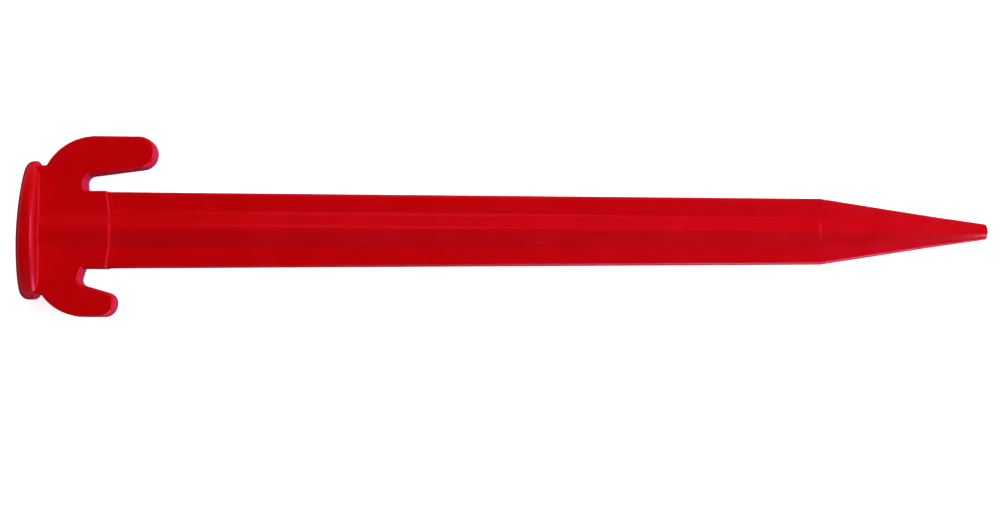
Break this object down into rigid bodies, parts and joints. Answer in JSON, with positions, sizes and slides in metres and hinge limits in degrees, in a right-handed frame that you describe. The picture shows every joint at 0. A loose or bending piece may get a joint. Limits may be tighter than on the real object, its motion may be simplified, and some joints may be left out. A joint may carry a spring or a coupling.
{
  "type": "tent stake",
  "caption": "Moulded plastic tent stake with an oval domed strike cap, long and short line hooks, a tapering flat shaft with a central rib front and back, and a blunt driving point.",
  "frame": {"origin": "on the shaft's axis, in the plane that touches the crown of the strike cap", "axes": "+X runs down the shaft from the strike cap to the driving point, +Y is towards the long hook, and +Z is out of the front face. The stake lies flat"},
  "size_m": [0.305, 0.0567, 0.022],
  "materials": {
    "red_plastic": "glossy moulded red plastic, self-coloured, with fine flow marks and light handling scuffs"
  },
  "bodies": {
    "root": {"strike_cap": "red_plastic", "head_plate": "red_plastic", "guy_hook_arm": "red_plastic", "guy_hook_finger": "red_plastic", "loop_hook_arm": "red_plastic", "loop_hook_finger": "red_plastic", "upper_blade": "red_plastic", "lower_blade": "red_plastic", "front_rib": "red_plastic", "back_rib": "red_plastic", "driving_point": "red_plastic"}
  },
  "joints": []
}
